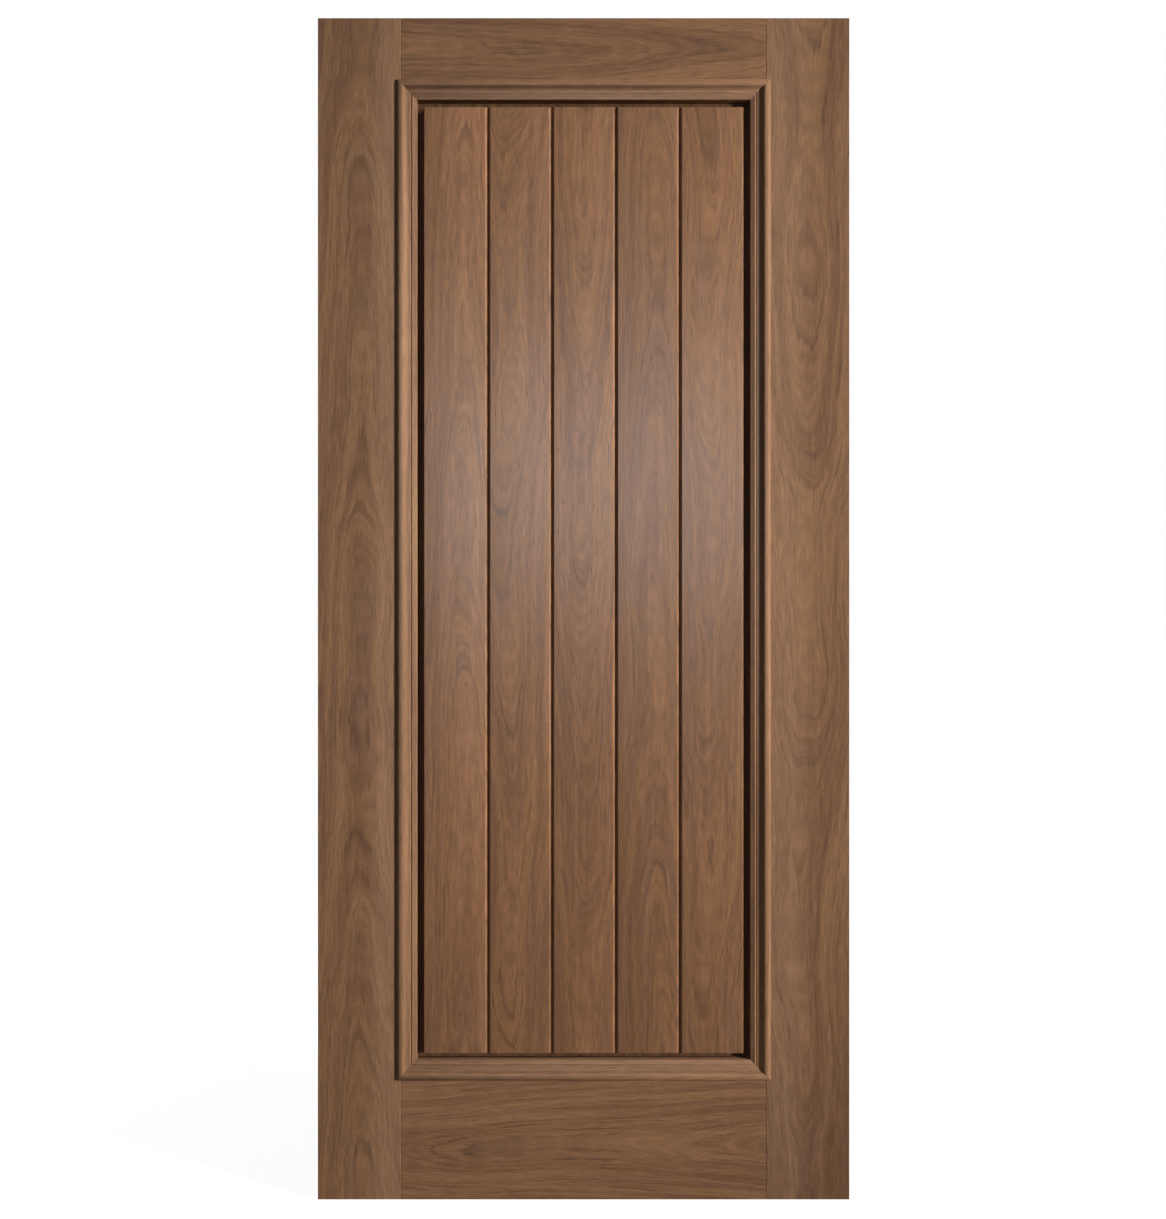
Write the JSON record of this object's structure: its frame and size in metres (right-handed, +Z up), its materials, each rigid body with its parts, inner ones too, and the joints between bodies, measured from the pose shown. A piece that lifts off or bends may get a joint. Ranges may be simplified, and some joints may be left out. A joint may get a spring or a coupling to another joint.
{
  "type": "wine cellar door leaf",
  "caption": "Solid walnut wine cellar door leaf: stiles and rails round a V-jointed plank panel, with a mitred bolection moulding on each face.",
  "frame": {"origin": "on the flat hinge edge of the leaf, at its bottom end, midway through the thickness", "axes": "+Z up along the hinge edge, +X across the width towards the lock edge, -Y out of the face in the picture"},
  "size_m": [0.9144, 0.0564, 2.032],
  "materials": {
    "frame_walnut": "satin",
    "moulding_walnut": "satin",
    "plank_walnut": "satin",
    "core_walnut": "satin"
  },
  "bodies": {
    "root": {"left_stile": "frame_walnut", "right_stile": "frame_walnut", "top_rail": "frame_walnut", "bottom_rail": "frame_walnut", "panel_core": "core_walnut", "front_left_moulding": "moulding_walnut", "front_right_moulding": "moulding_walnut", "front_top_moulding": "moulding_walnut", "front_bottom_moulding": "moulding_walnut", "back_left_moulding": "moulding_walnut", "back_right_moulding": "moulding_walnut", "back_top_moulding": "moulding_walnut", "back_bottom_moulding": "moulding_walnut", "front_plank_1": "plank_walnut", "front_plank_2": "plank_walnut", "front_plank_3": "plank_walnut", "front_plank_4": "plank_walnut", "front_plank_5": "plank_walnut", "back_plank_1": "plank_walnut", "back_plank_2": "plank_walnut", "back_plank_3": "plank_walnut", "back_plank_4": "plank_walnut", "back_plank_5": "plank_walnut"}
  },
  "joints": []
}
